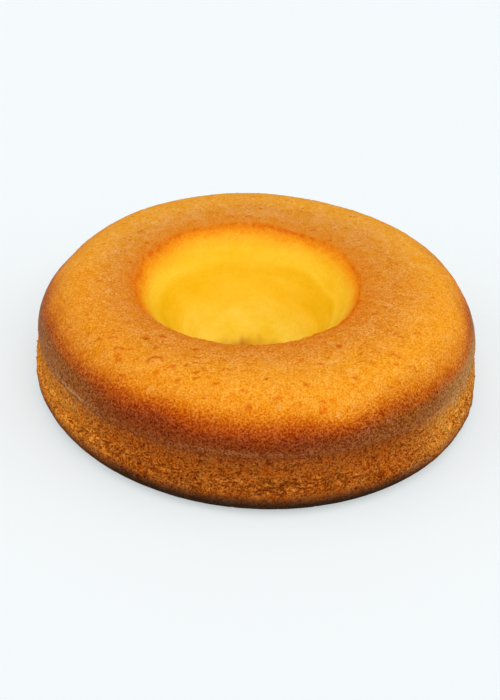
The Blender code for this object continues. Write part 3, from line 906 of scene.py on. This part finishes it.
def baked_crust():
    """Crust and hole: colour by place along the outline, with mottling, pores and marks."""
    g = Graph("baked_crust", specular=0.02)
    g.shader.inputs["Sheen Weight"].default_value = 0.02
    g.shader.inputs["Sheen Roughness"].default_value = 0.25
    where, place = g.millimetres(), g.number("place")
    fine = g.swing(where, *GRAIN)
    strayed = g.math("ADD", place, g.times(fine, g.ramp(place, DITHER_STOPS)))
    side = g.times(g.number("gold"), g.span(place, *SIDE_SPAN))
    g.colour = g.blend(side, g.ramp(strayed, CRUST_STOPS), g.ramp(strayed, SIDE_STOPS))
    g.shade(g.swing(where, *BLOTCHES), BLOTCH_DARK, BLOTCH_LIGHT, g.span(place, *BLOTCH_SPAN))
    mottle = g.times(g.swing(where, *MOTTLES), g.span(place, *MOTTLE_GROWTH))
    g.shade(mottle, MOTTLE_DARK, MOTTLE_LIGHT, g.span(place, *MOTTLE_SPAN))
    rough_share = g.math("SUBTRACT", 1, g.times(g.number("soft"), SOFTENING))
    strength = g.times(g.ramp(place, SPECK_STOPS), rough_share)
    speck = g.times(fine, g.times(strength, SPECK_GAIN))
    g.shade(speck, SPECK_DARK, SPECK_LIGHT)
    cell_tint, pore = crust_cells(g, where, place)
    cell_share = g.times(g.ramp(place, CELL_STOPS), rough_share)
    g.tint(cell_tint, cell_share)
    dot = g.pores(where, *DOTS)
    broken = g.times(g.math("SUBTRACT", g.noise(where, *BREAKS), BREAK_START), BREAK_EDGE, clamp=True)
    between = g.math("SUBTRACT", 1, g.times(g.math("MAXIMUM", pore, dot), COVERING))
    # painted highlight on the lip, broken by the pores
    g.colour = g.blend(g.times(g.number("bloom"), g.times(broken, between)), g.colour, MAUVE_HIGHLIGHT)
    # painted sheen on the lip and band at the far left and right
    g.colour = g.blend(g.times(g.number("haze"), between), g.colour, SIDE_SHEEN)
    g.tint(GLINT_TINT, g.times(g.pores(where, *GLINTS), g.ramp(place, GLINT_STOPS)))
    g.tint(DOT_TINT, g.times(dot, g.ramp(place, DOT_STOPS)))
    g.tint(FLECK_TINT, g.times(g.pores(where, *FLECKS), g.span(place, *FLECK_SPAN)))
    # the hole's rings, with painted shade below the crease
    g.tint(g.blend(g.number("shade"), HOLE_DARK, HOLE_LIGHT), g.span(place, *HOLE_SPAN))
    dimple = g.times(g.pores(where, *DIMPLES), g.ramp(place, DIMPLE_STOPS))
    g.tint(DIMPLE_TINT, dimple)
    # painted sheen: the dome's crust paler and bluer towards +Y
    g.tint(SHEEN_TINT, g.times(g.number("soft"), g.span(place, *SHEEN_SPAN)))
    # the scorch and dark tints carry browning and also painted shade on the far edges of blisters and arcs
    for label, by in ("foot", FOOT_SHADOW_TINT), ("tan", TAN_TINT), ("scorch", SCORCH_AND_SHADE_TINT), ("dark", DARK_AND_SHADE_TINT):
        g.tint(by, g.number(label))
    patchy = g.span(g.noise(where, *PATCHES), *PATCH_SPAN)
    g.colour = g.blend(g.times(g.number("pale"), patchy), g.colour, PALE_COLOUR)
    g.colour = g.blend(g.math("LESS_THAN", place, EDGE_FOOT + 1), g.colour, UNDER_COLOUR)
    g.feed(g.shader, "Roughness", g.ramp(place, ROUGH_STOPS))
    hollows = g.math("ADD", g.times(pore, g.times(cell_share, CELL_HOLLOW)), dimple)
    g.bump(g.math("SUBTRACT", g.times(fine, strength), hollows), CRUST_BUMP)
    return g.finished()


# Linear colours of the crumb wall: brown at the front and back, golden at the sides, partly the crumb's own
# bake and partly painted shade at the front and back
# near-black at the very bottom: partly burnt crust, partly painted contact shadow under the rounded edge
EDGE_BLACK = (0.034, 0.016, 0.003)
EDGE_BROWN = (0.088, 0.028, 0.004)
TOASTED = (0.18, 0.046, 0.004)
LOW_CRUMB = (0.32, 0.078, 0.003)
CRUMB_BROWN = (0.395, 0.095, 0.0032)
# CRUMB_SHADE and LIP_SHADE, and GOLD_SHADE and LIP_GOLD on the golden sides, darken the wall towards the
# lip: painted shade under the lip
CRUMB_SHADE = (0.325, 0.074, 0.0026)
LIP_SHADE = (0.29, 0.064, 0.0036)
EDGE_UMBER = (0.1, 0.036, 0.006)
EDGE_GOLD = (0.18, 0.052, 0.007)
TOASTED_GOLD = (0.4, 0.127, 0.009)
CRUMB_GOLD = (0.61, 0.217, 0.01)
GOLD_SHADE = (0.5, 0.176, 0.009)
LIP_GOLD = (0.45, 0.168, 0.017)

BROWN_STOPS = (
    (-40, EDGE_BLACK), (-32, EDGE_BLACK), (-29.8, EDGE_BROWN), (-27.8, TOASTED), (-25.6, LOW_CRUMB),
    (-22, CRUMB_BROWN), (-16, CRUMB_BROWN), (-10, CRUMB_SHADE), (LIP_FOOT, LIP_SHADE),
)
GOLD_STOPS = (
    (-40, EDGE_BLACK), (-35, EDGE_UMBER), (-31, EDGE_GOLD), (-27.5, TOASTED_GOLD), (-23, CRUMB_GOLD),
    (-16, CRUMB_GOLD), (-10, GOLD_SHADE), (LIP_FOOT, LIP_GOLD),
)
WALL_DARK, WALL_LIGHT = (0.64, 0.36, 0.02), (1.36, 1.66, 3.4)
WALL_PORE, WALL_RIDGE = (0.58, 0.34, 0.05), (1.24, 1.42, 2.6)
CLUMP_ORANGE, CLUMP_YELLOW = (1.06, 0.86, 0.5), (0.97, 1.06, 1.3)
# painted shade in pits, pores and cracks, and painted light on the raised flakes
HOLLOW_TINT, FLAKE_TINT = (0.58, 0.36, 0.2), (1.5, 1.78, 2.1)
RUDDY_TINT, FAIR_TINT = (1.07, 1, 0.8), (1.1, 1.28, 1.9)
WALL_CONTRAST = ((EDGE_FOOT, 0.6), (EDGE_TOP, 1), (-16, 1), (-12, 0.82), (LIP_FOOT, 0.72))
# Noises, cells and shares, in the same form as the crust's
WALL_GRAIN, WALL_STRAY = (1, 3, 0.7), (0.22, 3, 0.6, 2.4)
WALL_GOLD, CLUMPS = (0.12, 2, 0.5, 0.6), (0.2, 2, 0.5, 2.2)
WALL_CELLS = 0.85, 0.38, 0.8, 2.4, (0.9, 1.2)
GOLD_CONTRAST, TORN_CONTRAST, GOLD_RELIEF = (0, 1, 1, 0.85), (0.2, 1, 0.5, 1), (0, 1, 0.44, 0.2)
WALL_SPECK_GAIN, WALL_BUMP, WALL_HOLLOW = 3.05, 0.45, 0.7


def torn_wall():
    """The crumb wall: brown or golden, dark in its pores and pits, light on the ridges between."""
    g = Graph("torn_crumb", roughness=1, specular=0.01)
    where, along = g.millimetres(), g.number("place")
    fine = g.swing(where, *WALL_GRAIN)
    place = g.math("ADD", along, g.swing(where, *WALL_STRAY))
    gold = g.math("ADD", g.number("gold"), g.swing(where, *WALL_GOLD), clamp=True)
    g.colour = g.blend(gold, g.ramp(place, BROWN_STOPS), g.ramp(place, GOLD_STOPS))
    g.tint(RUDDY_TINT, g.number("ruddy"))
    # paler under the lip at the right: partly the crumb's colour, partly painted sheen
    g.tint(FAIR_TINT, g.number("fair"))
    g.shade(g.swing(where, *CLUMPS), CLUMP_ORANGE, CLUMP_YELLOW)
    contrast = g.times(g.ramp(along, WALL_CONTRAST), g.span(gold, *GOLD_CONTRAST))
    contrast = g.times(contrast, g.span(g.number("torn"), *TORN_CONTRAST))
    speck = g.times(fine, g.times(contrast, WALL_SPECK_GAIN))
    g.shade(speck, WALL_DARK, WALL_LIGHT)
    pore = g.pores(where, *WALL_CELLS)
    g.tint(g.blend(pore, WALL_RIDGE, WALL_PORE), contrast)
    relief = g.times(g.number("shade"), g.span(gold, *GOLD_RELIEF))
    g.shade(relief, HOLLOW_TINT, FLAKE_TINT)
    g.bump(g.math("SUBTRACT", fine, g.times(pore, WALL_HOLLOW)), WALL_BUMP)
    return g.finished()


CRUMB_DARK, CRUMB_LIGHT = (0.24, 0.058, 0.006), (0.52, 0.18, 0.022)
CRUMB_GOLD_TINT = (1.4, 1.7, 2.2)
CRUMB_GRAIN, CRUMB_BUMP = (1.4, 2), 0.3


def loose_crumb():
    """Each grain in its own shade of toasted crumb."""
    g = Graph("loose_crumb", roughness=0.92, specular=0.02)
    grain = g.swing(g.millimetres(), *CRUMB_GRAIN)
    g.colour = g.blend(g.math("ADD", g.number("shade"), grain, clamp=True), CRUMB_DARK, CRUMB_LIGHT)
    g.tint(CRUMB_GOLD_TINT, g.number("gold"))
    g.bump(grain, CRUMB_BUMP)
    return g.finished()


# ---- pieces

def new_object(name, data):
    """An object in the scene."""
    made = bpy.data.objects.new(name, data)
    bpy.context.scene.collection.objects.link(made)
    return made


def add_piece(name, points, faces, attributes, material):
    """A piece of the cake, which stands for the solid and moves with it."""
    mesh = write_mesh(name, points, faces, attributes)
    mesh.materials.append(material)
    piece = new_object(name, mesh)
    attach(piece, BODY)
    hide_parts(NODE)


def make_cake():
    shift = centring()
    skins = ("crumb_wall", crumb_wall, torn_wall), ("crust_body", crust_body, baked_crust)
    for name, skin, material in skins:
        points, faces, values = skin()
        add_piece(name, [point + shift for point in points], faces, values, material())
    add_piece("wall_crumbs", *wall_crumbs(shift), loose_crumb())


# ---- stage

FLOOR_HALF = 6.0  # metres
FLOOR_COLOUR = (0.5, 0.52, 0.528, 1)
FLOOR_GLOW, FLOOR_GLOW_STRENGTH = (0.94, 0.99, 1, 1), 0.43  # keeps the floor pale in the soft shadow
SKY_COLOUR, SKY_STRENGTH = (0.95, 0.98, 1, 1), 0.45
# Soft lamps: (name, azimuth it comes from, elevation, spread in degrees, strength)
LAMPS = (("key", 10, 60, 60, 1.32), ("left", -80, 27, 50, 0.76), ("right", 80, 27, 50, 0.8))


def make_floor():
    mesh = bpy.data.meshes.new("floor")
    corners = [(x * FLOOR_HALF, y * FLOOR_HALF, 0) for x, y in ((-1, -1), (1, -1), (1, 1), (-1, 1))]
    mesh.from_pydata(corners, [], [(0, 1, 2, 3)])
    g = Graph("pale_floor", roughness=1, specular=0)
    g.shader.inputs["Base Color"].default_value = FLOOR_COLOUR
    g.shader.inputs["Emission Color"].default_value = FLOOR_GLOW
    g.shader.inputs["Emission Strength"].default_value = FLOOR_GLOW_STRENGTH
    mesh.materials.append(g.material)
    floor = new_object("floor", mesh)


def make_lights():
    world = bpy.data.worlds.new("soft_sky")
    world.use_nodes = True
    sky = world.node_tree.nodes["Background"]
    sky.inputs["Color"].default_value = SKY_COLOUR
    sky.inputs["Strength"].default_value = SKY_STRENGTH
    bpy.context.scene.world = world
    for name, azimuth, elevation, spread, strength in LAMPS:
        lamp = bpy.data.lights.new(name, "SUN")
        lamp.energy, lamp.angle = strength, math.radians(spread)
        holder = new_object(name, lamp)
        a, e = math.radians(azimuth), math.radians(elevation)
        towards = Vector((math.sin(a) * math.cos(e), -math.cos(a) * math.cos(e), math.sin(e)))
        holder.rotation_euler = towards.to_track_quat("Z", "Y").to_euler()


PICTURE = (500, 700)  # pixels
CAMERA_ELEVATION, CAMERA_ROLL = math.radians(33.64), math.radians(2.186)
CAMERA_DISTANCE = 600.0  # from the point it looks at
LOOK_HEIGHT = 35.0
FOCAL_PIXELS = 1030.0
LOOK_PIXEL = (256.6, 318)  # where the point it looks at falls in the picture


def make_camera():
    """The photograph's view: along +Y and down, turned slightly anticlockwise."""
    camera = bpy.data.cameras.new("photo_view")
    long_side = max(PICTURE)
    camera.lens = FOCAL_PIXELS * camera.sensor_width / long_side
    camera.shift_x = (PICTURE[0] / 2 - LOOK_PIXEL[0]) / long_side
    camera.shift_y = (LOOK_PIXEL[1] - PICTURE[1] / 2) / long_side
    holder = new_object("photo_view", camera)
    forward = Vector((0, math.cos(CAMERA_ELEVATION), -math.sin(CAMERA_ELEVATION)))
    place = Vector((0, 0, LOOK_HEIGHT)) - forward * CAMERA_DISTANCE
    level = Matrix.Rotation(math.pi / 2 - CAMERA_ELEVATION, 4, "X")
    holder.matrix_world = Matrix.Translation(place * MM) @ level @ Matrix.Rotation(CAMERA_ROLL, 4, "Z")
    bpy.context.scene.camera = holder


make_camera()
make_cake()
make_floor()
make_lights()
bpy.context.scene.view_settings.view_transform = "Standard"
